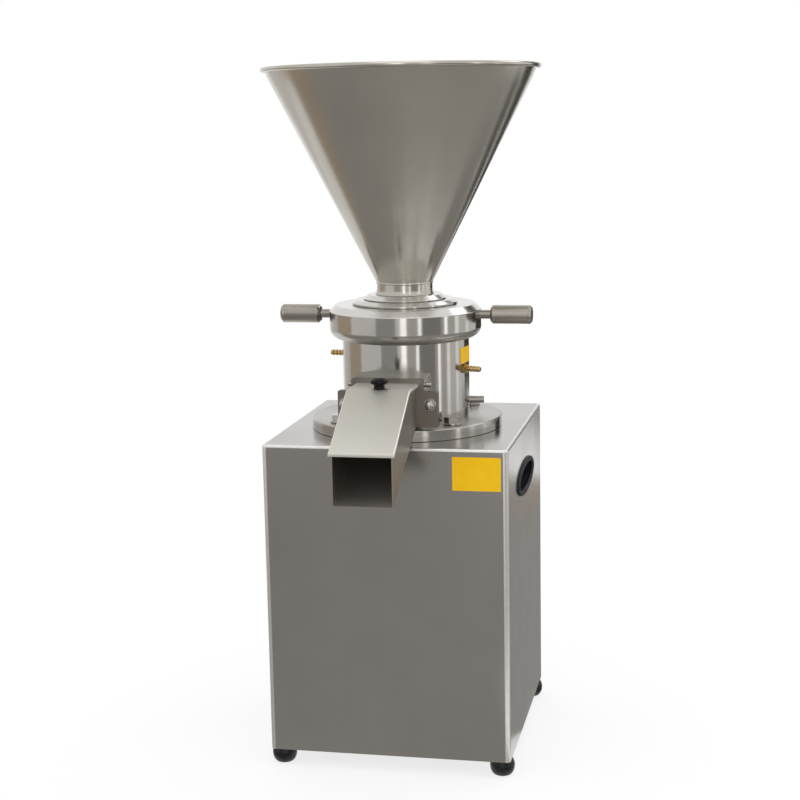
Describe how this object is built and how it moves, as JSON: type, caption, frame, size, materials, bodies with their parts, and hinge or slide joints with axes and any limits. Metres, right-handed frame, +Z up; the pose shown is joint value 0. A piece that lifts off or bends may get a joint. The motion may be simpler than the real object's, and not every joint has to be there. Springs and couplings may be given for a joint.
{
  "type": "vertical colloid mill",
  "caption": "Motor-driven nut butter mill: conical hopper, turned grinding head with adjusting ring, square outlet chute and upright motor in a steel cabinet on rubber feet.",
  "frame": {"origin": "centre of the footprint of the whole machine, on the floor that the feet stand on", "axes": "+Z up along the grinding head's axis, the outlet chute points to -Y, the handles lie along X"},
  "size_m": [0.405, 0.5182, 1.004],
  "materials": {
    "cabinet_steel": "satin",
    "hopper_steel": "satin",
    "turned_steel": "polished",
    "chute_steel": "satin",
    "brass": "satin",
    "foot_rubber": "matte",
    "seal_rubber": "matte",
    "black_plastic": "gloss",
    "green_plastic": "gloss",
    "red_plastic": "gloss",
    "frame_paint": "satin",
    "motor_paint": "satin",
    "core_iron": "matte",
    "winding": "satin"
  },
  "bodies": {
    "machine": {"cabinet_shell": "cabinet_steel", "rear_panel": "cabinet_steel", "cable_gland": "black_plastic", "carrying_frame": "frame_paint", "motor_plate": "frame_paint", "foot_front_left": "foot_rubber", "foot_front_right": "foot_rubber", "foot_rear_left": "foot_rubber", "foot_rear_right": "foot_rubber", "side_pull_left": "black_plastic", "side_pull_right": "black_plastic", "start_bezel": "black_plastic", "stop_bezel": "black_plastic", "housing": "turned_steel", "flange_bolt_1": "turned_steel", "flange_bolt_2": "turned_steel", "flange_bolt_3": "turned_steel", "flange_bolt_4": "turned_steel", "water_inlet_barb": "brass", "water_return_barb": "brass", "drain_pipe": "turned_steel", "seal_seat": "turned_steel", "outlet_gasket": "seal_rubber", "acorn_nut_left": "turned_steel", "acorn_nut_right": "turned_steel", "outlet_screw_left": "turned_steel", "outlet_screw_right": "turned_steel", "outlet_chute": "chute_steel", "motor_frame": "motor_paint", "motor_stator_core": "winding", "motor_top_bell": "motor_paint", "motor_low_bell": "motor_paint", "fan_cowl": "motor_paint", "terminal_box": "motor_paint", "top_bearing": "turned_steel", "low_bearing": "turned_steel"},
    "start_button": {"start_button": "green_plastic"},
    "stop_button": {"stop_button": "red_plastic"},
    "rotor": {"main_shaft": "turned_steel", "rotor_cone": "turned_steel", "feed_impeller": "turned_steel", "rotor_cap_nut": "turned_steel", "seal_ring": "core_iron", "discharge_paddle": "turned_steel", "motor_rotor_core": "core_iron", "motor_fan": "black_plastic"},
    "stator_carrier": {"stator_seat": "turned_steel", "seat_o_ring": "seal_rubber", "seat_cap": "turned_steel", "stator_ring": "turned_steel"},
    "adjusting_ring": {"adjusting_ring": "turned_steel", "handle_rod_left": "turned_steel", "handle_grip_left": "turned_steel", "handle_rod_right": "turned_steel", "handle_grip_right": "turned_steel"},
    "hopper": {"hopper_collar": "turned_steel", "hopper": "hopper_steel"},
    "chute_lid": {"chute_lid": "chute_steel", "lid_knob": "black_plastic"}
  },
  "joints": [
    {"name": "stator_travel", "type": "slide", "parent": "machine", "child": "stator_carrier", "axis": [0, 0, 1], "range_m": [0, 0.00185]},
    {"name": "ring_turn", "type": "hinge", "parent": "stator_carrier", "child": "adjusting_ring", "pos_m": [0, 0.04895, 0.64], "axis": [0, 0, 1], "range_deg": [0, 330]},
    {"name": "hopper_lift", "type": "slide", "parent": "stator_carrier", "child": "hopper", "axis": [0, 0, 1], "range_m": [0, 0.12]},
    {"name": "rotor_spin", "type": "hinge", "parent": "machine", "child": "rotor", "pos_m": [0, 0.04895, 0.3], "axis": [0, 0, 1], "continuous": true},
    {"name": "lid_lift", "type": "slide", "parent": "machine", "child": "chute_lid", "axis": [0, 0, 1], "range_m": [0, 0.045]},
    {"name": "start_press", "type": "slide", "parent": "machine", "child": "start_button", "axis": [1, 0, 0], "range_m": [0, 0.003], "stiffness_N_per_m": 400},
    {"name": "stop_press", "type": "slide", "parent": "machine", "child": "stop_button", "axis": [1, 0, 0], "range_m": [0, 0.003], "stiffness_N_per_m": 400}
  ],
  "couplings": [
    {"joint": "stator_travel", "follows": "ring_turn", "m_per_rad": 0.00031831}
  ]
}
